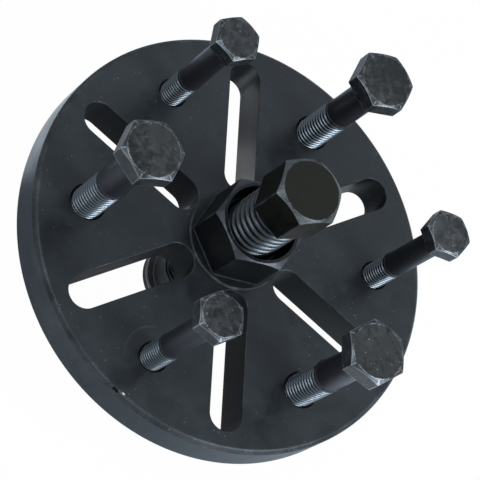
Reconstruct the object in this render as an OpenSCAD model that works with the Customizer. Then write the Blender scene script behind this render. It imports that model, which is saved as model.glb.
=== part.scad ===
// Flange puller: a round plate with six radial slots, a hexagonal hub at its centre, a forcing
// screw with a swivelling pressure pad, and six pulling bolts kept in tapped holes.
// Millimetres. The origin is the bottom centre of the pad, +Z runs along the screw to its head,
// and +X runs along one slot.

/* [Plate] */
// Outside diameter of the plate
plate_d = 130; // [108:1:156]
// Thickness of the plate
plate_t = 13.2; // [10:0.1:18]
// Chamfer round the front edge of the rim
rim_front_chamfer = 1.1; // [0.5:0.1:2.5]
// Chamfer round the back edge of the rim
rim_back_chamfer = 0.6; // [0.2:0.1:1.5]
// Chamfer at the mouths of the tapped holes
hole_chamfer = 0.6; // [0.2:0.1:1.2]

/* [Slots] */
// Width of each slot
slot_w = 10.24; // [8:0.01:13]
// Metal left between the outer end of a slot and the rim
slot_rim_wall = 5.88; // [3:0.01:9]
// Gap between the inner end of a slot and the collar of the hub
slot_collar_gap = 0.25; // [0.05:0.05:3]
// Chamfer along the edges of the slots
slot_chamfer = 0.2; // [0.1:0.05:0.8]

/* [Forcing screw] */
// Thread diameter of the forcing screw
screw_d = 18; // [15:0.5:22]
// Length of the thread, from the head to the shoulder above the pad
screw_thread_l = 59.6; // [49:0.1:75]
// Width across flats of the screw head
screw_af = 19; // [19:0.5:24]
// Height of the screw head
screw_head_h = 14.4; // [10:0.1:18]
// Width of the top chamfer inside the flats of the screw head
screw_head_inset = 0.6; // [0.1:0.1:1]
// Slope of the top chamfer of the screw head, in degrees
screw_head_slope = 38; // [20:1:45]
// Turn of the screw head about its axis, in degrees
screw_head_turn = 46.1; // [0:0.1:60]
// Chamfer where the thread ends above the pad
screw_end_chamfer = 1; // [0.4:0.1:1.4]
// Thread of the screw that shows between the plate and the pad
screw_below = 16.2; // [8:0.1:24]
// Diameter of the plain tip that turns inside the pad
tip_d = 12; // [9:0.1:14.4]

/* [Hub] */
// Height of the hub above the plate
hub_h = 16; // [12:0.1:20]
// Space round the screw in the recess at the top of the hub
relief_gap = 2.25; // [1:0.05:3]
// Depth of that recess
relief_depth = 6; // [3:0.1:9]
// Wall between the recess and the flats of the hexagon
hub_wall = 1.45; // [1:0.05:3]
// Width of the top chamfer inside the flats of the hexagon
hub_top_inset = 0.3; // [0.1:0.1:0.6]
// Turn of the hexagon about its axis, in degrees
hub_turn = 29.9; // [0:0.1:60]
// Height of the round collar under the hexagon
collar_h = 0.8; // [0.5:0.1:2]
// How far the collar reaches past the corners of the hexagon
collar_lip = 1.22; // [0.6:0.01:3]
// Chamfer round the collar
collar_chamfer = 0.5; // [0.1:0.1:0.5]
// Wall of the threaded spigot that holds the hub in the plate
spigot_wall = 4.5; // [3:0.1:6]
// How far the spigot stops short of the back of the plate
spigot_short = 0.3; // [0.1:0.1:2]

/* [Pressure pad] */
// Diameter of the foot of the pad
pad_d = 23.2; // [20:0.1:28]
// Thickness of the foot of the pad
pad_t = 2.9; // [2:0.1:4]
// Height of the pad
pad_h = 10.6; // [8.9:0.1:13]
// Wall of the sleeve round the tip of the screw
pad_wall = 3.04; // [2.5:0.01:4]
// Thickness of the pad under the tip of the screw
pad_floor = 3; // [2:0.1:3.6]
// Small chamfer on the edges of the pad
pad_chamfer = 0.4; // [0.1:0.1:0.6]
// Gap between the end of the sleeve and the shoulder of the screw
shoulder_gap = 0.2; // [0.1:0.05:0.5]
// Wire diameter of the snap ring that holds the pad on the tip
ring_wire = 1.4; // [1:0.1:1.8]
// Angle of the open gap in the snap ring, in degrees
ring_open = 30; // [10:1:60]

/* [Large bolts] */
// Thread diameter of the large bolts
large_d = 10; // [8:0.5:12]
// Length of the large bolts under the head
large_l = 50; // [40:1:60]
// Length of thread on the large bolts
large_thread_l = 29.2; // [20:0.1:36]
// Plain diameter under the head of the large bolts, taken off the thread diameter
large_shank_less = 0.6; // [0.2:0.1:1.2]
// Width across flats of the large bolt heads
large_af = 17; // [14:0.5:20.5]
// Height of the large bolt heads
large_head_h = 5.7; // [4:0.1:8]
// Distance that each large bolt stops short of the back of the plate
large_short = [0.8, 0.7, 0.4]; // [0:0.1:6]
// Turn of each large bolt head, in degrees
large_turn = [36.5, 40, 4.4]; // [0:0.1:60]

/* [Small bolts] */
// Thread diameter of the small bolts
small_d = 8; // [6:0.5:10]
// Length of the small bolts under the head
small_l = 50; // [40:1:60]
// Length of thread on the small bolts
small_thread_l = 24.6; // [20:0.1:30]
// Plain diameter under the head of the small bolts, taken off the thread diameter
small_shank_less = 0.4; // [0.2:0.1:1]
// Width across flats of the small bolt heads
small_af = 13; // [11:0.5:16]
// Height of the small bolt heads
small_head_h = 4.7; // [3:0.1:7]
// Distance that each small bolt stops short of the back of the plate
small_short = [0.2, 0.4, 0]; // [0:0.1:6]
// Turn of each small bolt head, in degrees
small_turn = [52.7, 0.6, 23.8]; // [0:0.1:60]

/* [Fits] */
// Distance from the rim to the centres of the bolts
bolt_rim_dist = 16.6; // [13:0.1:20]
// Radial clearance of a thread in its hole
thread_gap = 0.06; // [0.02:0.01:0.1]
// Radial clearance of the tip of the screw in the pad
tip_gap = 0.05; // [0.02:0.01:0.1]
// Clearance round the snap ring in its two grooves
ring_gap = 0.1; // [0.05:0.05:0.2]
// Clearance under the tip of the screw
tip_end_gap = 0.1; // [0.05:0.05:0.3]
// Radial clearance of the spigot in the plate
spigot_gap = 0.02; // [0.01:0.01:0.1]
// Slope of the top chamfer of the bolt heads and of the hub, in degrees
head_slope = 30; // [20:1:40]
// Width of the top chamfer inside the flats of the bolt heads
head_inset = 0.5; // [0.1:0.1:1]
// Width of the cone between the shank and the underside of the bolt heads
neck_cone = 0.4; // [0.1:0.1:0.5]

/* [Hidden] */
$fn = 96;
cut = 1; // how far a cutter runs past the surface that it opens
slot_step = 60; // angle from one slot to the next
large_at = [30, 150, 270]; // angles of the large bolts, each midway between two slots
small_at = [90, 210, 330]; // angles of the small bolts
tip_chamfer = 0.8; // chamfer on the end of each bolt
tip_end_chamfer = 0.5; // chamfer on the end of the tip that turns in the pad
lead = 0.8; // chamfer at the ends of the threaded bore and of the spigot

plate_r = plate_d / 2;
plate_back = pad_h + shoulder_gap + screw_below;
plate_face = plate_back + plate_t;
shoulder_z = pad_h + shoulder_gap;
screw_head_z = shoulder_z + screw_thread_l;
screw_r = screw_d / 2 - thread_gap;
bore_r = screw_d / 2;
relief_r = bore_r + relief_gap;
hub_af = 2 * (relief_r + hub_wall);
collar_r = corner(hub_af) + collar_lip;
spigot_r = bore_r + spigot_wall;
slot_in = collar_r + slot_collar_gap + slot_w / 2;
slot_out = plate_r - slot_rim_wall - slot_w / 2;
bolt_circle_r = plate_r - bolt_rim_dist;
sleeve_r = tip_d / 2 + tip_gap + pad_wall;
ring_r = tip_d / 2 + tip_gap / 2;
ring_z = (pad_floor + pad_h) / 2;
groove_reach = ring_wire / 2 + ring_gap;

// Radius to the corners of a hexagon of a given width across flats
function corner(af) = af / 2 / cos(30);

// Hexagonal prism with its top corners turned off by a cone
module hex_head(af, h, inset, slope) {
    flat_r = af / 2 - inset;
    drop = (corner(af) - flat_r) * tan(slope);
    over = corner(af) + cut;
    intersection() {
        cylinder(r = corner(af), h = h, $fn = 6);
        rotate_extrude() polygon([[0, -cut], [over, -cut], [over, h - drop - cut * tan(slope)],
            [flat_r, h], [0, h]]);
    }
}

// Half section of a cutter that goes through the plate and breaks both edges
function through_cut(r, chamfer) = [[r + chamfer, plate_back - cut], [r + chamfer, plate_back],
    [r, plate_back + chamfer], [r, plate_face - chamfer], [r + chamfer, plate_face],
    [r + chamfer, plate_face + cut]];

// Cutter for a round hole with a chamfer at both mouths
module round_cutter(r, chamfer) {
    rotate_extrude() polygon(concat([[0, plate_back - cut]], through_cut(r, chamfer),
        [[0, plate_face + cut]]));
}

// Cutter for one slot, along +X: a round end, a straight run and a round end
module slot_cutter() {
    half = through_cut(slot_w / 2, slot_chamfer);
    other_half = [for (i = [len(half) - 1 : -1 : 0]) [-half[i][0], half[i][1]]];
    for (x = [slot_in, slot_out]) translate([x, 0, 0]) round_cutter(slot_w / 2, slot_chamfer);
    translate([slot_in, 0, 0]) rotate([90, 0, 90])
        linear_extrude(slot_out - slot_in) polygon(concat(half, other_half));
}

// Round plate with the slots, the tapped holes and the seat of the hub
module plate() {
    color("#32373c") difference() {
        rotate_extrude() polygon([[0, plate_back], [plate_r - rim_back_chamfer, plate_back],
            [plate_r, plate_back + rim_back_chamfer], [plate_r, plate_face - rim_front_chamfer],
            [plate_r - rim_front_chamfer, plate_face], [0, plate_face]]);
        translate([0, 0, plate_back - cut]) cylinder(r = spigot_r + spigot_gap, h = plate_t + 2 * cut);
        for (a = [0 : slot_step : 359]) rotate(a) slot_cutter();
        for (a = large_at) rotate(a) translate([bolt_circle_r, 0, 0])
            round_cutter(large_d / 2, hole_chamfer);
        for (a = small_at) rotate(a) translate([bolt_circle_r, 0, 0])
            round_cutter(small_d / 2, hole_chamfer);
    }
}

// Hub: hexagon, collar and spigot in one piece, with the threaded bore and its recess
module hub() {
    spigot_end = plate_back + spigot_short;
    top = plate_face + hub_h;
    color("#33363a") difference() {
        union() {
            translate([0, 0, plate_face + collar_h / 2])
                rotate(hub_turn) hex_head(hub_af, hub_h - collar_h / 2, hub_top_inset, head_slope);
            rotate_extrude() polygon([[0, spigot_end], [spigot_r - lead, spigot_end],
                [spigot_r, spigot_end + lead], [spigot_r, plate_face], [collar_r, plate_face],
                [collar_r, plate_face + collar_h - collar_chamfer],
                [collar_r - collar_chamfer, plate_face + collar_h], [0, plate_face + collar_h]]);
        }
        rotate_extrude() polygon([[0, spigot_end - cut], [bore_r + lead + cut, spigot_end - cut],
            [bore_r, spigot_end + lead], [bore_r, top - relief_depth - lead],
            [bore_r + lead, top - relief_depth], [relief_r, top - relief_depth],
            [relief_r, top + cut], [0, top + cut]]);
    }
}

// Forcing screw: head, thread and the plain tip with the groove of the snap ring
module forcing_screw() {
    tip_r = tip_d / 2;
    tip_end = pad_floor + tip_end_gap;
    color("#5c6064") difference() {
        union() {
            translate([0, 0, screw_head_z]) rotate(screw_head_turn)
                hex_head(screw_af, screw_head_h, screw_head_inset, screw_head_slope);
            rotate_extrude() polygon([[0, tip_end], [tip_r - tip_end_chamfer, tip_end],
                [tip_r, tip_end + tip_end_chamfer], [tip_r, shoulder_z],
                [screw_r - screw_end_chamfer, shoulder_z], [screw_r, shoulder_z + screw_end_chamfer],
                [screw_r, screw_head_z + cut / 2], [0, screw_head_z + cut / 2]]);
        }
        rotate_extrude() translate([ring_r, ring_z])
            translate([-groove_reach, -groove_reach]) square([2 * groove_reach, 2 * groove_reach]);
    }
}

// Pad that presses on the shaft end and stands still while the screw turns
module pressure_pad() {
    pad_r = pad_d / 2;
    bore = tip_d / 2 + tip_gap;
    color("#7b8084") difference() {
        rotate_extrude() polygon([[0, 0], [pad_r - pad_chamfer, 0], [pad_r, pad_chamfer],
            [pad_r, pad_t - pad_chamfer], [pad_r - pad_chamfer, pad_t], [sleeve_r, pad_t],
            [sleeve_r, pad_h - pad_chamfer], [sleeve_r - pad_chamfer, pad_h],
            [bore + pad_chamfer, pad_h], [bore, pad_h - pad_chamfer], [bore, pad_floor],
            [0, pad_floor]]);
        rotate_extrude() translate([ring_r, ring_z])
            translate([-groove_reach, -groove_reach]) square([2 * groove_reach, 2 * groove_reach]);
    }
}

// Split ring of round wire, half in the groove of the tip and half in the groove of the pad
module pad_snap_ring() {
    color("#9a9ea2") rotate(ring_open / 2) translate([0, 0, ring_z])
        rotate_extrude(angle = 360 - ring_open) translate([ring_r, 0]) circle(d = ring_wire, $fn = 24);
}

// Hexagon bolt, standing upright with its end short of the back of the plate
module bolt(d, l, thread_l, shank_less, af, head_h, short) {
    z0 = plate_back + short;
    r = d / 2 - thread_gap;
    shank_r = r - shank_less / 2;
    run_out = shank_less / 2;
    translate([0, 0, z0]) {
        rotate_extrude() polygon([[0, 0], [r - tip_chamfer, 0], [r, tip_chamfer], [r, thread_l],
            [shank_r, thread_l + run_out], [shank_r, l - neck_cone],
            [shank_r + neck_cone, l], [shank_r + neck_cone, l + cut / 2], [0, l + cut / 2]]);
        translate([0, 0, l]) hex_head(af, head_h, head_inset, head_slope);
    }
}

// One large bolt, by its place in the lists
module large_bolt(i) {
    color("#3c4043") rotate(large_at[i]) translate([bolt_circle_r, 0, 0])
        rotate(large_turn[i] - large_at[i])
        bolt(large_d, large_l, large_thread_l, large_shank_less, large_af, large_head_h, large_short[i]);
}

// One small bolt, by its place in the lists
module small_bolt(i) {
    color("#3c4043") rotate(small_at[i]) translate([bolt_circle_r, 0, 0])
        rotate(small_turn[i] - small_at[i])
        bolt(small_d, small_l, small_thread_l, small_shank_less, small_af, small_head_h, small_short[i]);
}

module large_bolt_1() {
    large_bolt(0);
}

module large_bolt_2() {
    large_bolt(1);
}

module large_bolt_3() {
    large_bolt(2);
}

module small_bolt_1() {
    small_bolt(0);
}

module small_bolt_2() {
    small_bolt(1);
}

module small_bolt_3() {
    small_bolt(2);
}

plate();
hub();
forcing_screw();
pressure_pad();
pad_snap_ring();
large_bolt_1();
large_bolt_2();
large_bolt_3();
small_bolt_1();
small_bolt_2();
small_bolt_3();
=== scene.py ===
"""Looks, light and camera for the flange puller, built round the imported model.

Lengths are worked out in millimetres, in the model's own frame, and become metres when a mesh is
made. Every piece is a surface computed on a grid: its rows follow a profile of (radius, height) and
its columns go round the axis or along an outline.
"""

import bmesh
import bpy
import numpy as np
from mathutils import Euler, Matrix
from mathutils.geometry import delaunay_2d_cdt


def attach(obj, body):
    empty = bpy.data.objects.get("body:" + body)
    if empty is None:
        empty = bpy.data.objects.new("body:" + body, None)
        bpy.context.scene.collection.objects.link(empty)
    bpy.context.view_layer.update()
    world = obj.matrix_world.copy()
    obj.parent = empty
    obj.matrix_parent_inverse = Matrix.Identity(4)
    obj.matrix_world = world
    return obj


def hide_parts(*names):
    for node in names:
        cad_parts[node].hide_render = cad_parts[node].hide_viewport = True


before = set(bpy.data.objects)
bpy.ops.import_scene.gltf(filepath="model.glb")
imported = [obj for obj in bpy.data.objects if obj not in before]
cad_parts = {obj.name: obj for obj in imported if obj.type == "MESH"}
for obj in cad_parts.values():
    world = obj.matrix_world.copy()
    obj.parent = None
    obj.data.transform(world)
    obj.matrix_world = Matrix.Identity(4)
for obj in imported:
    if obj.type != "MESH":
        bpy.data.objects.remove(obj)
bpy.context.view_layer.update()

MM = 0.001
TURN = 2 * np.pi
# Degrees from the middle of a hexagon's side to its corner
CORNER = 30.0

# Sizes of the part, in millimetres. Heights are above the foot of the pad, a break is a small
# chamfer, and a flat is half of a hexagon's width across its flats.

# Plate: back and face, radius, and the chamfers round its rim
BACK, FACE = 27.0, 40.2
PLATE_R, RIM_FRONT, RIM_BACK = 65.0, 1.1, 0.6
# Slots: angles in degrees, width, and where the centres of their ends lie
SLOTS = range(0, 360, 60)
SLOT_W, SLOT_IN, SLOT_OUT, SLOT_BREAK = 10.24, 21.255, 54.0, 0.2
# The circle of the six tapped holes, and the hole that seats the hub's spigot
BOLT_CIRCLE, HOLE_BREAK = 48.4, 0.6
SEAT_R, SEAT_BREAK = 13.52, 0.1

# Hub: top, hexagon, how far its top is turned down, and its turn about the axis in degrees
HUB_TOP, HUB_FLAT, HUB_ROUNDING, HUB_INSET, HUB_TURN = 56.2, 12.7, 0.4, 0.3, 29.9
RELIEF_R, RELIEF_FLOOR, RELIEF_BREAK = 11.25, 50.2, 0.25
COLLAR_R, COLLAR_TOP, COLLAR_BREAK, COLLAR_FILLET = 15.885, 41.0, 0.5, 0.3
SPIGOT_R, SPIGOT_END, SPIGOT_BREAK = 13.5, BACK + 0.3, 0.8
BORE_R, BORE_BREAK = 9.0, 0.8

# Forcing screw: hexagon head with a turned cone, its turn and the cone's slope in degrees
SCREW_TOP, SCREW_BASE, SCREW_FLAT, SCREW_ROUNDING = 84.8, 70.4, 9.5, 0.5
SCREW_INSET, SCREW_SLOPE, SCREW_TURN = 0.6, 38.0, 46.1
# Its thread, with the height at which a turn starts above the shoulder, and its plain tip
SCREW_R, SCREW_PITCH, SCREW_LEAD, SCREW_CHAMFER = 8.94, 2.82, 2.45, 1.0
SHOULDER, TIP_R, TIP_END, TIP_BREAK = 10.8, 6.0, 3.1, 0.5

# Pressure pad: foot, sleeve and blind bore
FOOT_R, FOOT_T, FOOT_BREAK = 11.6, 2.9, 0.4
SLEEVE_R, SLEEVE_TOP, SLEEVE_BREAK = 9.09, 10.6, 0.4
PAD_BORE_R, PAD_FLOOR = 6.05, 3.0
# Snap ring: radius of its middle line, height, and half the width of its square groove
RING_R, RING_Z, GROOVE = 6.025, 6.8, 0.8

# Bolts: slope of the head's cone in degrees, how far the cone cuts in, neck and end
HEAD_SLOPE, HEAD_INSET, HEAD_ROUNDING, NECK, BOLT_CHAMFER = 30.0, 0.5, 0.45, 0.4, 0.8
LARGE = dict(hole=5.0, crest=4.94, shank=4.64, pitch=1.5, thread=29.2, length=50.0, flat=8.5,
             head=5.7)
SMALL = dict(hole=4.0, crest=3.94, shank=3.74, pitch=1.25, thread=24.6, length=50.0, flat=6.5,
             head=4.7)
# name: (angle on the plate, turn of the head, height of the bolt's end)
LARGE_BOLTS = {"large_bolt_1": (30, 36.5, 27.8), "large_bolt_2": (150, 40.0, 27.7),
               "large_bolt_3": (270, 4.4, 27.4)}
SMALL_BOLTS = {"small_bolt_1": (90, 52.7, 27.2), "small_bolt_2": (210, 0.6, 27.4),
               "small_bolt_3": (330, 23.8, 27.0)}

# Thread form, in pitches: heights of the rows of one turn, depth, half of the crest and one flank.
# A flank curves by a power, and the groove fades out over so many pitches at the upper end.
TURN_ROWS = (0.0, 0.05, 0.1, 0.19, 0.28, 0.36, 0.43, 0.5, 0.57, 0.64, 0.72, 0.81, 0.9, 0.95)
THREAD_DEPTH, HALF_CREST, FLANK, FLANK_POWER = 0.613, 0.07, 0.3, 1.2
BOLT_FADE, SCREW_FADE = 1.3, 0.4

# Rows of a rounded corner. The guard rows beside it keep the sides flat: each is so many reaches
# away, but at most a share of the side.
CORNER_ROWS = 4
GUARDS = ((4, 0.3), (1, 0.15))
GUARD_WEAR = 0.6
# A hexagon's corner is worn out to so many half widths of its rounding from its middle. A thread is
# worn by 1 less its form, times a factor, up to 1.
CORNER_WEAR, CREST_WEAR = 1.6, 1.6
# How worn the rim of a bolt head's flat is, and how far below the head's seat wear still shows
FLAT_WEAR, WEAR_BELOW = 0.6, 0.2
# How far below its seat a bolt's head takes its own tone, how much of the cone's tone the sides of
# a bolt's head and the plate's rim have, and how much of the thread's tone a bolt's end has
HEAD_BELOW, HEAD_SIDE, RIM_SIDE, END_TONE = 0.1, 0.45, 0.7, 0.5

# Columns of the grids: round the rim, a tapped hole, the seat and the pad; on half a hexagon's side
# in degrees from its middle; and round the end and along the side of a slot
RIM_COLUMNS, HOLE_COLUMNS, SEAT_COLUMNS, PAD_COLUMNS = 480, 64, 96, 120
HALF_SIDE_COLUMNS = (5, 10, 16, 22, 27)
SLOT_ARC, SLOT_RUN = 29, 14

# How near a point counts as on a surface or on a cone, and a length too small to divide by
NEAR, CONE_NEAR, TINY = 0.01, 0.03, 1e-9
# How near two points of a flat fill are the same one, and two of a mesh, which are in metres
SAME_POINT, WELD = 1e-7, 2e-6


# Surfaces

def on_circle(angle, radius=BOLT_CIRCLE):
    """Point of the plate at an angle in degrees and a radius."""
    return radius * np.cos(np.radians(angle)), radius * np.sin(np.radians(angle))


def soften(points, reaches):
    """Rounds a profile's inner corners.

    Corner B between A and C becomes the quadratic curve (1-t)^2 (B + a) + 2t(1-t) B + t^2 (B + c),
    where a and c are steps of the corner's reach towards A and C. Guard rows just outside keep the
    sides flat. The second result is how worn each row is: 1 on the curve, falling to 0 beside it.
    """
    rows, worn = [points[0]], [0.0]
    t = np.linspace(0, 1, CORNER_ROWS)[:, None, None]
    for before, corner, after, reach in zip(points, points[1:], points[2:], reaches):
        ways, guards = [], []
        for other in (before, after):
            length = np.linalg.norm(other - corner, axis=-1, keepdims=True)
            way = (other - corner) / np.maximum(length, TINY)
            ways.append(way)
            guards.append([corner + (reach + np.minimum(far * reach, share * (length - reach))) * way
                           for far, share in GUARDS])
        curve = ((1 - t) ** 2 * (corner + reach * ways[0]) + 2 * t * (1 - t) * corner
                 + t ** 2 * (corner + reach * ways[1]))
        rows += [*guards[0], *curve, *reversed(guards[1])]
        worn += [0.0, GUARD_WEAR, *[1.0] * CORNER_ROWS, GUARD_WEAR, 0.0]
    rows.append(points[-1])
    return np.stack(rows), np.array(worn + [0.0])


def rounded(corners, columns):
    """Rows (row, column, (radius, height)) and wear of a profile through corners
    (radius, height, reach of the rounding). A radius or height may be a number or one per column;
    the profile's two ends aren't rounded and have no reach."""
    points = np.stack([np.stack([np.broadcast_to(np.asarray(v, float), (columns,))
                                 for v in corner[:2]], -1) for corner in corners])
    return soften(points, [corner[2] for corner in corners[1:-1]])


def on_cone(rows, flat_r, low):
    """Where a profile is on the cone between radius flat_r and the cone's lower edge."""
    return (rows[..., 0] > flat_r + CONE_NEAR) & (rows[..., 1] > low - CONE_NEAR)


def quads(rows, columns, wrap):
    """Corner numbers of the quads between neighbouring rows and columns of a grid."""
    down = np.arange(rows - 1)[:, None] * columns
    here = np.arange(columns if wrap else columns - 1)[None, :]
    there = (here + 1) % columns
    return np.stack([down + here, down + there, down + columns + there, down + columns + here],
                    -1).reshape(-1, 4)


def turned(profile, angles, centre=(0.0, 0.0), turn=0.0):
    """Grid of points (centre + r cos, centre + r sin, z) for a profile (row, column, (r, z)), with
    the columns at their angles plus a turn in degrees."""
    a = angles + np.radians(turn)
    r, z = profile[..., 0], profile[..., 1]
    return np.stack([centre[0] + r * np.cos(a), centre[1] + r * np.sin(a), z], -1)


def hexagon(flat, rounding):
    """Columns round a hexagon: their angles, their distances from the axis and how worn they are.

    The distance is flat / cos on a side, and d cos + sqrt(q^2 - d^2 sin^2) on a corner that is
    rounded to the radius q about a centre at d from the axis. A side has 16 columns, from the end
    of one corner's rounding over the middle of the side to the next corner.
    """
    half_side = np.radians(CORNER)
    edge = np.arctan2((flat - rounding) * np.tan(half_side), flat)
    edge_degrees = np.degrees(edge)
    into_corner = (CORNER - edge_degrees) / 2
    side = [-edge_degrees, *(-a for a in reversed(HALF_SIDE_COLUMNS)), 0, *HALF_SIDE_COLUMNS,
            edge_degrees, CORNER - into_corner, CORNER, CORNER + into_corner]
    angles = np.radians(np.add.outer(np.arange(6) * 2 * CORNER, side).ravel())

    off = (angles + half_side) % (2 * half_side) - half_side
    to_corner = half_side - np.abs(off)
    d = (flat - rounding) / np.cos(half_side)
    under = np.maximum(rounding ** 2 - (d * np.sin(to_corner)) ** 2, 0)
    arc = d * np.cos(to_corner) + np.sqrt(under)
    radius = np.where(np.abs(off) > edge - TINY, arc, flat / np.cos(off))
    worn = np.clip(CORNER_WEAR - to_corner / (half_side - edge), 0, 1)
    return angles, radius, worn


def hex_top(radius, flat_r, top, slope, reaches):
    """Corners of a turned-down hexagon top: centre, rim of the flat, lower edge of the cone, whose
    height is top - (radius - flat_r) tan(slope). The last two have the two reaches."""
    cone_low = top - (radius - flat_r) * np.tan(np.radians(slope))
    return [(0.0, top), (flat_r, top, reaches[0]), (radius, cone_low, reaches[1])]


def ring_groove(radius, way):
    """Corners of the square groove that holds half of the snap ring, from above; way is -1 into
    the tip and 1 into the pad."""
    floor, high, low = RING_R + way * GROOVE, RING_Z + GROOVE, RING_Z - GROOVE
    return [(radius, high, 0.05), (floor, high, 0.05), (floor, low, 0.05), (radius, low, 0.05)]


def thread(low, high, angles, crest, pitch, chamfer, fade, lead=0.0):
    """Helical thread between two heights as a sheared grid, highest row first.

    A row climbs one pitch a turn: z = low + lead + pitch (row's height + angle / turn), held
    between low and high. The radius is the crest less the thread's depth times its form there, which
    is 0 on the crest and 1 in the groove; the groove fades out over the last pitches and the end is
    turned down by a 45 degree chamfer. Returns the profile (row, column, (r, z)), the wear and the
    closed list of angles.
    """
    closed = np.append(angles, angles[0] + TURN)
    share = (closed - angles[0]) / TURN
    heights = np.add.outer(np.arange(-2, int((high - low) / pitch) + 2), TURN_ROWS).ravel()
    z = np.clip(low + lead + pitch * (heights[::-1, None] + share), low, high)
    from_crest = 0.5 - np.abs(((z - low - lead) / pitch - share) % 1 - 0.5)
    form = np.clip((from_crest - HALF_CREST) / FLANK, 0, 1)
    form = form ** FLANK_POWER * np.clip((high - z) / (fade * pitch), 0, 1)
    radius = np.minimum(crest - THREAD_DEPTH * pitch * form, crest - chamfer + (z - low))
    worn = np.clip(CREST_WEAR * (1 - form), 0, 1) * np.clip((high - z) / pitch, 0, 1)
    return np.stack([radius, z], -1), worn, closed


class Shell:
    """Grids and flat fills gathered in millimetres and welded into one closed mesh."""

    def __init__(self):
        self.points, self.faces, self.count = [], [], 0
        # The thread mark also lies on the hub's relief and bore, where its tone is painted shade
        self.marks = {"wear": [], "thread": [], "cone": [], "head": []}

    def add(self, points, faces, **marks):
        """Points, faces that number them, and marks: one number, or one for each point."""
        points = points.reshape(-1, 3)
        self.faces += (faces + self.count).tolist()
        self.points.append(points)
        for label, store in self.marks.items():
            value = np.asarray(marks.get(label, 0.0), float).ravel()
            store.append(np.broadcast_to(value, (len(points),)))
        self.count += len(points)

    def grid(self, points, wrap=True, **marks):
        """A grid of points; a mark is a number, one for each row, or one for each point."""
        rows, columns = points.shape[:2]
        for label, value in marks.items():
            if np.ndim(value) == 1:
                marks[label] = np.repeat(np.asarray(value)[:, None], columns, 1)
        self.add(points, quads(rows, columns, wrap), **marks)

    def mesh(self, name):
        """Welds what coincides and turns the faces outward; the marks become attributes."""
        mesh = bpy.data.meshes.new(name)
        mesh.from_pydata(np.concatenate(self.points) * MM, [], self.faces)
        for label, values in self.marks.items():
            layer = mesh.attributes.new(label, "FLOAT", "POINT")
            layer.data.foreach_set("value", np.concatenate(values).astype(np.float32))
        work = bmesh.new()
        work.from_mesh(mesh)
        bmesh.ops.remove_doubles(work, verts=work.verts, dist=WELD)
        bmesh.ops.recalc_face_normals(work, faces=work.faces)
        for face in work.faces:
            face.smooth = True
        work.to_mesh(mesh)
        work.free()
        return mesh


def show(shell, node, body, material):
    """Makes the shell a piece that stands for a node of the model."""
    piece = bpy.data.objects.new(node + "_surface", shell.mesh(node + "_surface"))
    bpy.context.scene.collection.objects.link(piece)
    piece.data.materials.append(material)
    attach(piece, body)
    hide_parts(node)


# Shaders

# Red of a greenish grey, as a share of its green
GREENISH = 0.95


class Field:
    """A shader socket. Arithmetic on it adds Math nodes."""

    def __init__(self, finish, socket):
        self.finish, self.socket = finish, socket

    def math(self, operation, *others, **settings):
        """A Math node on this socket and others."""
        return self.finish.node("ShaderNodeMath", {"operation": operation, **settings},
                                dict(enumerate((self, *others))))

    def __add__(self, other):
        return self.math("ADD", other)

    def __sub__(self, other):
        return self.math("SUBTRACT", other)

    def __rsub__(self, other):
        return self.finish.node("ShaderNodeMath", {"operation": "SUBTRACT"}, {0: other, 1: self})

    def __mul__(self, other):
        return self.math("MULTIPLY", other)

    def swing(self, size):
        """A noise's distance from its middle, one half, times a size."""
        return (self - 0.5) * size

    def step(self, low, high):
        """0 below low, 1 above high, and a smooth rise between them."""
        return self.finish.node("ShaderNodeMapRange", {"interpolation_type": "SMOOTHSTEP"},
                                {"Value": self, "From Min": low, "From Max": high})

    __radd__, __rmul__ = __add__, __mul__


class Finish:
    """The node tree of a material or of the world."""

    def __init__(self, owner):
        owner.use_nodes = True
        self.tree = owner.node_tree
        self.tree.nodes.clear()

    def node(self, kind, settings=(), inputs=(), output=0):
        """Adds a node: its settings first, then values or links for its sockets."""
        made = self.tree.nodes.new(kind)
        for key, value in dict(settings).items():
            setattr(made, key, value)
        for key, value in dict(inputs).items():
            if isinstance(value, Field):
                self.tree.links.new(value.socket, made.inputs[key])
            else:
                made.inputs[key].default_value = value
        return Field(self, made.outputs[output]) if len(made.outputs) else made

    def where(self):
        """Coordinates on the piece, in metres."""
        return self.node("ShaderNodeTexCoord", {}, {}, "Object")

    def mark(self, label):
        """One of the marks that a shell puts on its mesh."""
        return self.node("ShaderNodeAttribute", {"attribute_name": label}, {}, "Fac")

    def mix(self, factor, a, b):
        """Colour a where the factor is 0 and b where it is 1; 6, 7 and 2 are the colour sockets."""
        return self.node("ShaderNodeMix", {"data_type": "RGBA"}, {0: factor, 6: a, 7: b}, 2)

    def noise(self, where, scale=1.0, detail=3.0, roughness=0.55, distortion=0.0):
        """Noise from 0 to 1 with so many waves to the metre."""
        return self.node("ShaderNodeTexNoise", {}, {
            "Vector": where, "Scale": scale, "Detail": detail, "Roughness": roughness,
            "Distortion": distortion})

    def stretched(self, where, scale, turn=(0.0, 0.0, 0.0)):
        """Coordinates turned and then stretched, for brushed or scratched patterns."""
        return self.node("ShaderNodeMapping", {}, {
            "Vector": where, "Rotation": turn, "Scale": scale})

    def surface(self, height, strength, distance, **inputs):
        """The shader of a material, with a height as its bump."""
        bump = self.node("ShaderNodeBump", {}, {
            "Strength": strength, "Distance": distance, "Height": height})
        shader = self.node("ShaderNodeBsdfPrincipled", {}, {
            "Normal": bump, **{key.replace("_", " "): value for key, value in inputs.items()}})
        self.node("ShaderNodeOutputMaterial", {}, {0: shader})


def grey(level, blue=1.0):
    """A grey of that linear level with a lean to blue, or to green where blue is below 1."""
    red = GREENISH if blue < 1 else 2 - blue
    return (level * red, level, level * blue, 1.0)


BARE, DUST = grey(0.17, 1.1), grey(0.34, 1.1)

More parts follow.
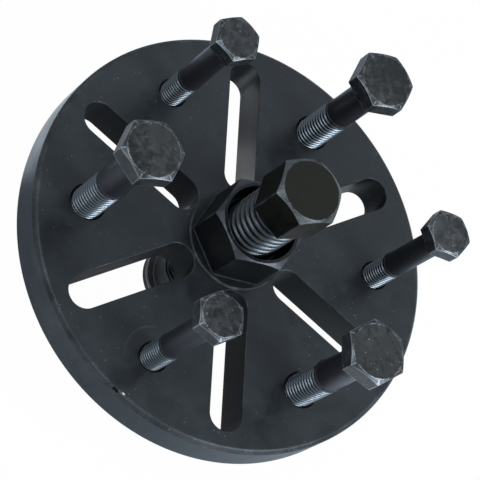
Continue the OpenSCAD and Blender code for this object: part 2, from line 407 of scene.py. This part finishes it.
# Patterns of the oxide, in waves to the metre, and the turn of its scratches
CLOUDS, GRAIN, SPECKS = 28.0, 2600.0, 760.0
LINES, SCRATCHES, SCRATCH_TURN = (6.0, 6.0, 2600.0), (60.0, 2400.0, 900.0), (0.3, 0.2, 0.7)
# The levels of a pattern or mark between which an effect rises from nothing to its full strength
TONE, STAIN_CLOUD, STAIN_BLOTCH, CONE_EDGE = (0.38, 0.64), (0.44, 0.6), (0.38, 0.62), (0.1, 0.4)
CREST, DUSTY, DUST_CLOUD, SPECK_EDGE = (0.15, 1.0), (0.55, 1.0), (0.3, 0.7), (0.0, 0.09)
# Wear: weight of the mesh's mark, swings of blotches and scratches, and its rise to full strength
EDGE_WEAR, WEAR_BLOTCH, WEAR_SCRATCH, WEAR_BAND = 0.8, 1.2, 0.4, 0.35
# Cones: swings of blotches and grain in how far their colour covers, and how far it does between
CONE_BLOTCH, CONE_GRAIN, CONE_COVER = 1.6, 1.2, 0.6
# Roughness: swing of blotches, how much smoother cones and how much rougher specks are
ROUGH_BLOTCH, CONE_GLOSS, DUST_ROUGH = 0.3, 0.06, 0.3
# Swing of blotches in the wear of crests, and bump of the oxide: strength and height in metres
CREST_BLOTCH, BUMP, BUMP_HEIGHT = 0.15, 0.35, 0.00012
# Radius of a speck in cells, and how much larger it is on the heads
SPECK, HEAD_SPECK = 0.06, 0.07
# How metallic worn places, plain shanks and cones are
WORN_METAL, SHANK_METAL, CONE_METAL = 0.8, 0.6, 0.7


def oxide(name, dark, light, rough, wear_from, sheen, worn_by, mottle=260.0, crest_tone_or_recess_shade=0.0, groove=0.014,
          cut_metal=0.85, cut_gloss=0.14, dust=0.0, cones=None, stain=None, shank=None, marks=None,
          tint=(0.72, 0.86, 1.0)):
    """Black oxide on steel: cloudy tone between dark and light, fine grain, turning lines and
    scratches, bare metal where it is worn, a metallic tone on threads and turned cones, and a few
    specks of dust.

    Wear shows from wear_from on and covers at most worn_by. Blotches have mottle waves to the
    metre. Where the thread mark lies, the grey goes from groove to crest_tone_or_recess_shade on
    its crests, and it is more metallic by cut_metal and smoother by cut_gloss; on a thread these
    are its roots and crests, but on the hub's relief and bore they are painted shade, near black.
    Cones, stain and shank are the colours of turned cones, of stains and of a plain shank, and
    marks is a function that adds to the colour.
    """
    material = bpy.data.materials.new(name)
    f = Finish(material)
    where = f.where()
    wear, thread_or_shaded_recess, cone, head = (f.mark(label) for label in ("wear", "thread", "cone", "head"))
    cloud = f.noise(where, CLOUDS)
    blotch = f.noise(where, mottle, detail=5.0, roughness=0.62, distortion=0.6)
    grain = f.noise(where, GRAIN, detail=2.0)
    lines = f.noise(f.stretched(where, LINES))
    scratch = f.noise(f.stretched(where, SCRATCHES, SCRATCH_TURN), detail=2.0)

    tone = (cloud * 0.4 + blotch * 0.5 + lines * 0.1).step(*TONE)
    colour = f.mix(tone, dark, light)
    if stain:
        flat = 1 - cone.step(*CONE_EDGE)
        stained = cloud.step(*STAIN_CLOUD) * blotch.step(*STAIN_BLOTCH) * flat
        colour = f.mix(stained, colour, stain)
    if shank:
        colour = f.mix(head, shank, colour)
    patchy = wear * EDGE_WEAR + blotch.swing(WEAR_BLOTCH) + scratch.swing(WEAR_SCRATCH)
    worn = patchy.step(wear_from, wear_from + WEAR_BAND) * (1 - thread_or_shaded_recess) * worn_by
    metallic = worn * WORN_METAL
    if shank:
        plain = 1 - head - thread_or_shaded_recess
        metallic = metallic.math("MAXIMUM", plain * SHANK_METAL)
    if cones:
        uneven = blotch.swing(CONE_BLOTCH) + grain.swing(CONE_GRAIN) + CONE_COVER
        colour = f.mix(cone * uneven.math("ADD", 0.0, use_clamp=True), colour, cones)
        metallic = metallic.math("MAXIMUM", cone * CONE_METAL)
    colour = f.mix(worn, colour, BARE)
    roughness = rough + blotch.swing(ROUGH_BLOTCH) * (1 - thread_or_shaded_recess) - cone * CONE_GLOSS
    height = (grain * 0.25 + scratch * 0.2 + blotch * 0.4 + lines * 0.15) * (1 - thread_or_shaded_recess)

    # Thread greys: crest and root tones on a real thread, but painted shade, near black, where the
    # hub's relief and bore carry the thread mark
    if crest_tone_or_recess_shade:
        crest = thread_or_shaded_recess * (wear + blotch.swing(CREST_BLOTCH)).step(*CREST)
        colour = f.mix(thread_or_shaded_recess, colour, f.mix(crest, grey(groove, 1.2), grey(crest_tone_or_recess_shade, 1.2)))
        metallic = metallic + thread_or_shaded_recess * cut_metal
        roughness = roughness - thread_or_shaded_recess * cut_gloss
    if dust:
        cell = {"Vector": where, "Scale": SPECKS}
        near = f.node("ShaderNodeTexVoronoi", {}, cell, "Distance")
        pick = f.node("ShaderNodeTexVoronoi", {}, cell, "Color")
        chosen = f.node("ShaderNodeSeparateColor", {}, {0: pick}, "Red")
        size = SPECK + head * HEAD_SPECK
        share = chosen.step(*DUSTY) * cloud.step(*DUST_CLOUD)
        speck = (1 - (near - size).step(*SPECK_EDGE)) * share * (1 - thread_or_shaded_recess) * dust
        colour = f.mix(speck, colour, DUST)
        roughness = roughness + speck * DUST_ROUGH
        metallic = metallic * (1 - speck)
    if marks:
        colour = marks(f, where, colour)
    f.surface(height, BUMP, BUMP_HEIGHT, Base_Color=colour, Roughness=roughness, Metallic=metallic,
              Specular_IOR_Level=sheen, Specular_Tint=(*tint, 1.0))
    return material


# Marks on the plate, in millimetres. An edge fades between its two lengths.
# Ring of a washer: angle of its hole, radius, edge, the direction in which it begins and how far
# from the hole, its strength and its colour
WASHER_AT, WASHER_R, WASHER_EDGE = 210, 9.0, (0.1, 0.5)
WASHER_SIDE, WASHER_FROM, WASHER_MIX, WASHER_TONE = (-0.25, 0.9), (4.0, 10.0), 0.3, grey(0.09, 1.12)
# Nick and fleck at the rim: place, how many times as long as wide, edge and colour; the rim's
# direction there, and the waves to the metre that make the nick's edge uneven
NICK, NICK_LONG, NICK_EDGE, NICK_TONE = (-57.2, -29.1), 2.5, (0.8, 1.1), grey(0.001)
FLECK, FLECK_LONG, FLECK_EDGE, FLECK_TONE = (-55.5, -31.0), 1.8, (0.1, 0.4), (0.6, 0.58, 0.45, 1.0)
ALONG_RIM, NICK_WAVES = (0.45, -0.89), 1500.0
# The marks end between two heights on the chamfer
FRONT_EDGE = (FACE - 1.2, FACE - 1.0)


def plate_marks(f, where, colour):
    """Part of a faint ring that a washer left round one hole, and a dark nick with a bright fleck
    beside it at the rim. Each is a distance from a point turned into a tone."""
    x, y, z = (f.node("ShaderNodeSeparateXYZ", {}, {0: where}, axis) for axis in "XYZ")

    def fade(field, low, high):
        """A smooth rise between two lengths in millimetres."""
        return field.step(low * MM, high * MM)

    def distance(at, long=1.0):
        """From a point, with equal tones drawn out along the rim to long times their width."""
        dx, dy = x - at[0] * MM, y - at[1] * MM
        along_rim = dx * ALONG_RIM[0] + dy * ALONG_RIM[1]
        shorter = along_rim * along_rim * (1 - 1 / long ** 2)
        return (dx * dx + dy * dy - shorter).math("SQRT"), dx, dy

    on_front = fade(z, *FRONT_EDGE)
    from_hole, dx, dy = distance(on_circle(WASHER_AT))
    upper = fade(dx * WASHER_SIDE[0] + dy * WASHER_SIDE[1], *WASHER_FROM)
    ring = 1 - fade((from_hole - WASHER_R * MM).math("ABSOLUTE"), *WASHER_EDGE)
    colour = f.mix(ring * upper * on_front * WASHER_MIX, colour, WASHER_TONE)
    nick = 1 - fade(distance(NICK, NICK_LONG)[0] + f.noise(where, NICK_WAVES) * MM, *NICK_EDGE)
    fleck = 1 - fade(distance(FLECK, FLECK_LONG)[0], *FLECK_EDGE)
    colour = f.mix(nick * on_front, colour, NICK_TONE)
    return f.mix(fleck * on_front, colour, FLECK_TONE)


# Turned steel: its rings and clouds in waves to the metre, how much brighter the clouds get, how
# the mark and the clouds share in the wear, the rises of both, and the colour where it is worn
STEEL_RINGS, STEEL_CLOUDS, STEEL_BRIGHTER = (8.0, 8.0, 4200.0), 160.0, 1.5
STEEL_EDGE, STEEL_PATCHES, STEEL_TONE, STEEL_WORN = 0.7, 0.6, (0.35, 0.7), (0.4, 0.7)
STEEL_BARE = grey(0.32, 1.04)
# How metallic it is and becomes by wear, its bump's strength and height, and its rings' roughness
STEEL_METAL, STEEL_WORN_METAL, STEEL_BUMP, STEEL_BUMP_HEIGHT = 0.5, 0.4, 0.3, 0.00006
STEEL_ROUGH = 0.15


def turned_steel(name, tone, rough):
    """Lightly blackened turned steel: fine rings along the axis, clouds between the tone and a
    brighter one, and bare edges where it is worn."""
    material = bpy.data.materials.new(name)
    f = Finish(material)
    where = f.where()
    rings = f.noise(f.stretched(where, STEEL_RINGS))
    cloud = f.noise(where, STEEL_CLOUDS, detail=4.0)
    brighter = tuple(STEEL_BRIGHTER * c for c in tone[:3]) + (1.0,)
    colour = f.mix(cloud.step(*STEEL_TONE), tone, brighter)
    worn = (f.mark("wear") * STEEL_EDGE + cloud.swing(STEEL_PATCHES)).step(*STEEL_WORN)
    f.surface(rings, STEEL_BUMP, STEEL_BUMP_HEIGHT, Base_Color=f.mix(worn, colour, STEEL_BARE),
              Roughness=rough + rings.swing(STEEL_ROUGH),
              Metallic=STEEL_METAL + worn * STEEL_WORN_METAL)
    return material


# Pieces

def slot_outline():
    """A slot along X: the middle of its rounding and the outward direction at each point.

    It is a half circle about the outer end, a straight run, a half circle about the inner end and
    the run back.
    """
    arc = np.linspace(-np.pi / 2, np.pi / 2, SLOT_ARC)
    run = np.linspace(0, 1, SLOT_RUN)[1:-1]
    end = np.stack([np.cos(arc), np.sin(arc)], -1)
    outward = np.concatenate([end, np.repeat([[0.0, 1.0]], len(run), 0), -end,
                              np.repeat([[0.0, -1.0]], len(run), 0)])
    along = np.concatenate([np.full(SLOT_ARC, SLOT_OUT), SLOT_OUT + (SLOT_IN - SLOT_OUT) * run,
                            np.full(SLOT_ARC, SLOT_IN), SLOT_IN + (SLOT_OUT - SLOT_IN) * run])
    return np.stack([along, np.zeros(len(along))], -1), outward


def flat_fill(loops, gone):
    """Triangles between closed loops of points, without those whose centre is nearer to one of the
    lines a to b in gone than its radius."""
    starts = np.cumsum([0] + [len(loop) for loop in loops])
    edges = np.concatenate([np.stack([start + np.arange(len(loop)),
                                      start + (np.arange(len(loop)) + 1) % len(loop)], -1)
                            for start, loop in zip(starts, loops)])
    every_triangle = 0
    found, _, faces, *_ = delaunay_2d_cdt(np.concatenate(loops).tolist(), edges.tolist(), [],
                                          every_triangle, SAME_POINT)
    found, faces = np.array([tuple(p) for p in found]), np.array(faces)
    centre = found[faces].mean(1)
    keep = np.ones(len(faces), bool)
    for a, b, radius in gone:
        span = (b - a) / max((b - a) @ (b - a), TINY)
        nearest = a + np.clip((centre - a) @ span, 0, 1)[:, None] * (b - a)
        keep &= np.linalg.norm(centre - nearest, axis=1) > radius
    return found, faces[keep]


def plate_shell():
    """Plate: a band of surface along each outline, and flat fills between the bands.

    A band's points are middle + outward (radius + offset), with offset and height from the rounded
    profile; it runs a margin past its chamfers, on to both faces.
    """
    shell = Shell()
    margin = 0.5

    def circle(count):
        """Directions at equal steps round a circle."""
        a = np.arange(count) * TURN / count
        return np.stack([np.cos(a), np.sin(a)], -1)

    def band(middle, outward, radius, corners, cone_r=np.inf, cone_low=FACE, side=0.0):
        """Adds a band, with the cone's tone on its front chamfer and side times that below it;
        returns its edges on the face and on the back."""
        rows, worn = rounded(corners, len(outward))
        flat = middle + outward * (radius + rows[..., :1])
        chamfer = on_cone(rows, cone_r, cone_low) & (rows[..., 1] < FACE - NEAR)
        cone = np.where(chamfer, 1.0, side * (rows[..., 0] > -NEAR))
        shell.grid(np.concatenate([flat, rows[..., 1:]], -1), wear=worn, cone=cone)
        return flat[0], flat[-1]

    def opening(middle, outward, radius, size, reach, **cone):
        """A band through the plate with a break of that size at both ends."""
        return band(middle, outward, radius, [
            (size + margin, FACE), (size, FACE, reach), (0, FACE - size, reach),
            (0, BACK + size, reach), (size, BACK, reach), (size + margin, BACK)], **cone)

    axis = np.zeros(2)
    bands = [band(axis, circle(RIM_COLUMNS), PLATE_R, [
        (-RIM_FRONT - 3 * margin, FACE), (-RIM_FRONT, FACE, 0.45), (0, FACE - RIM_FRONT, 0.4),
        (0, BACK + RIM_BACK, 0.12), (-RIM_BACK, BACK, 0.12), (-RIM_BACK - margin, BACK)],
        cone_r=-RIM_FRONT, cone_low=FACE - RIM_FRONT, side=RIM_SIDE)]
    gone = []
    middle, outward = slot_outline()
    for angle in SLOTS:
        c, s = on_circle(angle, 1)
        to_place = np.array([[c, s], [-s, c]])
        bands.append(opening(middle @ to_place, outward @ to_place, SLOT_W / 2, SLOT_BREAK, 0.07,
                             cone_r=0.0, cone_low=FACE - SLOT_BREAK))
        gone.append((np.array([c, s]) * SLOT_IN, np.array([c, s]) * SLOT_OUT,
                     SLOT_W / 2 + SLOT_BREAK + margin))
    for bolts, size in ((LARGE_BOLTS, LARGE), (SMALL_BOLTS, SMALL)):
        for angle, _, _ in bolts.values():
            at = np.array(on_circle(angle))
            bands.append(opening(at, circle(HOLE_COLUMNS), size["hole"], HOLE_BREAK, 0.12))
            gone.append((at, at, size["hole"] + HOLE_BREAK + margin))
    bands.append(opening(axis, circle(SEAT_COLUMNS), SEAT_R, SEAT_BREAK, 0.03))
    gone.append((axis, axis, SEAT_R + SEAT_BREAK + margin))

    for side, height in enumerate((FACE, BACK)):
        found, faces = flat_fill([edges[side] for edges in bands], gone)
        shell.add(np.column_stack([found, np.full(len(found), height)]), faces)
    return shell


def bolt_shell(size, centre, turn, end):
    """Hexagon bolt: head, neck cone, plain shank, helical thread and chamfered end."""
    shell = Shell()
    angles, radius, corner = hexagon(size["flat"], HEAD_ROUNDING)
    seat, high = end + size["length"], end + size["thread"]
    shank, crest, flat_r = size["shank"], size["crest"], size["flat"] - HEAD_INSET
    corners = hex_top(radius, flat_r, seat + size["head"], HEAD_SLOPE, (0.12, 0.1)) + [
        (radius, seat, 0.12), (shank + NECK, seat, 0.05), (shank, seat - NECK, 0.08),
        (shank, high + crest - shank, 0.04), (crest, high)]
    rows, worn = rounded(corners, len(angles))
    side = rows[..., 0] > size["flat"] - NEAR
    worn = worn * np.where(rows[:, 0, 0] < size["flat"] - HEAD_INSET / 2, FLAT_WEAR, 1.0)
    worn = np.maximum(worn[:, None] * (rows[..., 1] > seat - WEAR_BELOW), side * corner)
    cone = np.maximum(on_cone(rows, flat_r, corners[2][1]), HEAD_SIDE * side)
    shell.grid(turned(rows, angles, centre, turn), wear=worn, cone=cone,
               head=rows[..., 1] > seat - HEAD_BELOW)
    rows, worn, closed = thread(end, high, angles, crest, size["pitch"], BOLT_CHAMFER, BOLT_FADE)
    shell.grid(turned(rows, closed, centre, turn), wrap=False, wear=worn, thread=1.0)
    tip = np.stack([rows[-1, :-1], np.zeros_like(rows[-1, :-1])])
    tip[1, :, 1] = end
    shell.grid(turned(tip, angles, centre, turn), thread=END_TONE)
    return shell


def screw_shell():
    """Forcing screw: turned-down hexagon head, coarse thread, shoulder and plain tip."""
    shell = Shell()
    turn = SCREW_TURN + CORNER
    angles, radius, corner = hexagon(SCREW_FLAT, SCREW_ROUNDING)
    flat_r = SCREW_FLAT - SCREW_INSET
    corners = hex_top(radius, flat_r, SCREW_TOP, SCREW_SLOPE, (0.12, 0.12)) + [
        (radius, SCREW_BASE, 0.15), (SCREW_R, SCREW_BASE)]
    rows, worn = rounded(corners, len(angles))
    side = rows[..., 0] > SCREW_FLAT - NEAR
    shell.grid(turned(rows, angles, turn=turn), wear=np.maximum(worn[:, None], side * corner),
               cone=on_cone(rows, flat_r, corners[2][1]))
    rows, worn, closed = thread(SHOULDER, SCREW_BASE, angles, SCREW_R, SCREW_PITCH, SCREW_CHAMFER,
                                SCREW_FADE, SCREW_LEAD)
    shell.grid(turned(rows, closed, turn=turn), wrap=False, wear=worn, thread=1.0)
    rows, worn = rounded([
        (rows[-1, :-1, 0], SHOULDER), (TIP_R, SHOULDER, 0.05), *ring_groove(TIP_R, -1),
        (TIP_R, TIP_END + TIP_BREAK, 0.08), (TIP_R - TIP_BREAK, TIP_END, 0.08), (0, TIP_END)],
        len(angles))
    shell.grid(turned(rows, angles, turn=turn), wear=worn)
    return shell


def hub_shell():
    """Hub: hexagon, collar, spigot and stepped bore as one ring of surface."""
    shell = Shell()
    angles, radius, corner = hexagon(HUB_FLAT, HUB_ROUNDING)
    mid, flat_r = (HUB_TOP + RELIEF_FLOOR) / 2, HUB_FLAT - HUB_INSET
    _, *top = hex_top(radius, flat_r, HUB_TOP, HEAD_SLOPE, (0.08, 0.1))
    corners = [
        (RELIEF_R, mid), (RELIEF_R, HUB_TOP - RELIEF_BREAK, 0.06),
        (RELIEF_R + RELIEF_BREAK, HUB_TOP, 0.06), *top,
        (radius, COLLAR_TOP + COLLAR_FILLET, 0.1), (radius + COLLAR_FILLET, COLLAR_TOP, 0.1),
        (COLLAR_R - COLLAR_BREAK, COLLAR_TOP, 0.1), (COLLAR_R, COLLAR_TOP - COLLAR_BREAK, 0.08),
        (COLLAR_R, FACE, 0.05), (SPIGOT_R, FACE, 0.05),
        (SPIGOT_R, SPIGOT_END + SPIGOT_BREAK, 0.05), (SPIGOT_R - SPIGOT_BREAK, SPIGOT_END, 0.05),
        (BORE_R + BORE_BREAK, SPIGOT_END, 0.05), (BORE_R, SPIGOT_END + BORE_BREAK, 0.05),
        (BORE_R, RELIEF_FLOOR - BORE_BREAK, 0.05), (BORE_R + BORE_BREAK, RELIEF_FLOOR, 0.05),
        (RELIEF_R, RELIEF_FLOOR, 0.05), (RELIEF_R, mid)]
    rows, worn = rounded(corners, len(angles))
    side = (rows[..., 0] > HUB_FLAT - NEAR) & (rows[..., 1] > COLLAR_TOP + COLLAR_FILLET)
    cone = on_cone(rows, flat_r, top[1][1])
    cone |= (on_cone(rows, COLLAR_R - COLLAR_BREAK, COLLAR_TOP - COLLAR_BREAK)
             & (rows[..., 1] < COLLAR_TOP - NEAR))
    # The relief and bore carry the thread mark, so that the hub's material paints near-black shade
    # into them
    shell.grid(turned(rows, angles, turn=HUB_TURN + CORNER),
               wear=np.maximum(worn[:, None], side * corner),
               thread=rows[..., 0] < RELIEF_R + 2 * NEAR, cone=cone)
    return shell


def pad_shell():
    """Pressure pad: foot, sleeve and blind bore, turned about the axis."""
    shell = Shell()
    angles = np.arange(PAD_COLUMNS) * TURN / PAD_COLUMNS
    rows, worn = rounded([
        (0, 0), (FOOT_R - FOOT_BREAK, 0, 0.1), (FOOT_R, FOOT_BREAK, 0.1),
        (FOOT_R, FOOT_T - FOOT_BREAK, 0.1), (FOOT_R - FOOT_BREAK, FOOT_T, 0.1),
        (SLEEVE_R, FOOT_T, 0.35), (SLEEVE_R, SLEEVE_TOP - SLEEVE_BREAK, 0.1),
        (SLEEVE_R - SLEEVE_BREAK, SLEEVE_TOP, 0.1), (PAD_BORE_R + SLEEVE_BREAK, SLEEVE_TOP, 0.1),
        (PAD_BORE_R, SLEEVE_TOP - SLEEVE_BREAK, 0.1), *ring_groove(PAD_BORE_R, 1),
        (PAD_BORE_R, PAD_FLOOR, 0.1), (0, PAD_FLOOR)], PAD_COLUMNS)
    worn = worn * (rows[:, 0, 0] > FOOT_R - 2 * FOOT_BREAK)
    shell.grid(turned(rows, angles), wear=worn)
    return shell


plate_black = oxide("plate_black", dark=grey(0.006, 1.2), light=grey(0.018, 1.2), rough=0.44,
                    wear_from=0.75, sheen=0.28, worn_by=0.2, mottle=120.0, dust=0.9,
                    cones=grey(0.05, 1.15), marks=plate_marks)
# The hub's two thread greys are painted shade, near black, in its relief and bore, which have no
# thread
hub_black = oxide("hub_black", dark=grey(0.004, 1.2), light=grey(0.009, 1.2), rough=0.40,
                  wear_from=0.7, sheen=0.2, worn_by=0.3, crest_tone_or_recess_shade=0.006, groove=0.001, dust=0.3,
                  cones=grey(0.065, 1.15))
screw_black = oxide("screw_black", dark=grey(0.003, 0.85), light=grey(0.007, 0.9), rough=0.36,
                    wear_from=0.55, sheen=0.12, worn_by=0.4, crest_tone_or_recess_shade=0.052, groove=0.026,
                    cut_metal=0.62, cut_gloss=0.1, cones=grey(0.115, 1.15), tint=(0.85, 1.0, 0.9))
both_bolts = dict(rough=0.38, wear_from=0.32, worn_by=0.8, mottle=420.0, dust=0.8,
                  shank=(0.039, 0.041, 0.05, 1.0))
large_black = oxide("large_bolt_black", dark=grey(0.003, 1.1), light=grey(0.06, 1.12), sheen=0.19,
                    crest_tone_or_recess_shade=0.092, cones=grey(0.058, 1.22), stain=(0.009, 0.0095, 0.006, 1.0),
                    tint=(0.78, 0.9, 1.0), **both_bolts)
small_black = oxide("small_bolt_black", dark=grey(0.004, 1.1), light=grey(0.058, 1.1), sheen=0.2,
                    crest_tone_or_recess_shade=0.075, cones=grey(0.064, 1.22), **both_bolts)
pad_steel = turned_steel("pad_steel", grey(0.1, 1.1), rough=0.42)
ring_steel = turned_steel("ring_steel", grey(0.25), rough=0.35)

show(plate_shell(), "plate", "base", plate_black)
show(hub_shell(), "hub", "base", hub_black)
show(screw_shell(), "forcing_screw", "forcing_screw", screw_black)
show(pad_shell(), "pressure_pad", "pressure_pad", pad_steel)
for bolts, size, black in ((LARGE_BOLTS, LARGE, large_black), (SMALL_BOLTS, SMALL, small_black)):
    for node, (angle, turn, end) in bolts.items():
        shell = bolt_shell(size, on_circle(angle), turn + CORNER, end)
        show(shell, node, node, black)
snap_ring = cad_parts["pad_snap_ring"]
snap_ring.data.materials.clear()
snap_ring.data.materials.append(ring_steel)


# Floor, light and camera

# Half the floor's side and its height, in metres, and the world's level
FLOOR_REACH, GROUND = 3.0, -0.05 * MM
AMBIENT = 0.14


def seen_directly(f, straight, mirrored):
    """How far camera and transmission rays, and glossy rays, see plain white instead of the lit
    tone."""
    camera, through, glossy = (f.node("ShaderNodeLightPath", {}, {}, "Is %s Ray" % kind)
                               for kind in ("Camera", "Transmission", "Glossy"))
    return (camera.math("MAXIMUM", through) * straight).math("MAXIMUM", glossy * mirrored)


def floor_material():
    """Pale floor: white where it is seen directly, with part of its diffuse tone and shadow kept."""
    material = bpy.data.materials.new("pale_floor")
    f = Finish(material)
    diffuse = f.node("ShaderNodeBsdfDiffuse", {}, {"Color": grey(0.7, 1.05)})
    white = f.node("ShaderNodeEmission", {}, {"Color": grey(1.0), "Strength": 1.0})
    shader = f.node("ShaderNodeMixShader", {},
                    {0: seen_directly(f, straight=0.985, mirrored=0.1), 1: diffuse, 2: white})
    f.node("ShaderNodeOutputMaterial", {}, {0: shader})
    return material


mesh = bpy.data.meshes.new("floor")
mesh.from_pydata([(x * FLOOR_REACH, y * FLOOR_REACH, GROUND)
                  for x, y in ((-1, -1), (1, -1), (1, 1), (-1, 1))], [], [(0, 1, 2, 3)])
floor = bpy.data.objects.new("floor", mesh)
bpy.context.scene.collection.objects.link(floor)
floor.data.materials.append(floor_material())

world = bpy.data.worlds.new("studio")
bpy.context.scene.world = world
sky = Finish(world)
sky.node("ShaderNodeOutputWorld", {}, {0: sky.node("ShaderNodeBackground", {}, {
    "Color": grey(1.0),
    "Strength": AMBIENT + (1 - AMBIENT) * seen_directly(sky, straight=1.0, mirrored=1.0)})})


def light_up(light, location, turn):
    """Puts a light in the scene, unseen by the camera."""
    lit = bpy.data.objects.new(light.name, light)
    lit.location = location
    lit.rotation_euler = Euler(turn)
    lit.visible_camera = False
    bpy.context.scene.collection.objects.link(lit)


def lamp(name, azimuth, elevation, distance, size, level):
    """Square soft lamp at a distance and direction from the plate's centre. Its power, level pi^2
    distance^2, lights a white card there that faces it to that level."""
    light = bpy.data.lights.new(name, "AREA")
    light.size = size
    light.energy = level * np.pi ** 2 * distance ** 2
    a, e = np.radians(azimuth), np.radians(elevation)
    way = np.array([np.cos(e) * np.cos(a), np.cos(e) * np.sin(a), np.sin(e)])
    light_up(light, np.array([0.0, 0.0, FACE * MM]) + distance * way,
             (np.pi / 2 - e, 0, a + np.pi / 2))


def card(name, x, y, turn, length, width, level):
    """Glowing card that lies 1 mm above the floor. Its power, level pi times its area, makes it as
    bright as a white one lit to that level."""
    light = bpy.data.lights.new(name, "AREA")
    light.shape = "RECTANGLE"
    light.size, light.size_y = length * MM, width * MM
    light.energy = level * np.pi * length * width * MM ** 2
    light_up(light, np.array([x, y, 1.0]) * MM, (np.pi, 0, np.radians(turn)))


lamp("key", azimuth=-76, elevation=52, distance=0.7, size=0.2, level=0.42)
lamp("key_low", azimuth=-64, elevation=42, distance=0.7, size=0.2, level=0.36)
lamp("top", azimuth=19, elevation=49, distance=0.9, size=0.4, level=0.08)
lamp("low", azimuth=-88, elevation=10, distance=0.5, size=0.45, level=0.36)
lamp("far_left", azimuth=145, elevation=43, distance=0.7, size=0.2, level=0.08)
lamp("stripe", azimuth=153, elevation=70, distance=0.7, size=0.25, level=0.26)
card("card_behind", x=-12, y=74, turn=10, length=84, width=30, level=1.3)
card("card_below", x=-15, y=-126, turn=-4, length=160, width=64, level=1.0)
card("card_left", x=-128, y=8, turn=94, length=110, width=56, level=1.4)
card("card_slot", x=6, y=42, turn=60, length=22, width=16, level=3.5)

# The camera that was fitted to the photograph, in metres and degrees; its lens is in millimetres
EYE, EYE_TURN = (-0.331725, -0.071233, 0.531011), (20.8025, -28.4792, -26.531)
LENS, SENSOR = 150.58, 36.0
NEAREST, FARTHEST = 0.01, 20.0

camera = bpy.data.cameras.new("camera")
camera.lens, camera.sensor_width = LENS, SENSOR
camera.clip_start, camera.clip_end = NEAREST, FARTHEST
eye = bpy.data.objects.new("camera", camera)
eye.location = EYE
eye.rotation_euler = Euler(np.radians(EYE_TURN))
bpy.context.scene.collection.objects.link(eye)
bpy.context.scene.camera = eye
bpy.context.scene.view_settings.view_transform = "Standard"
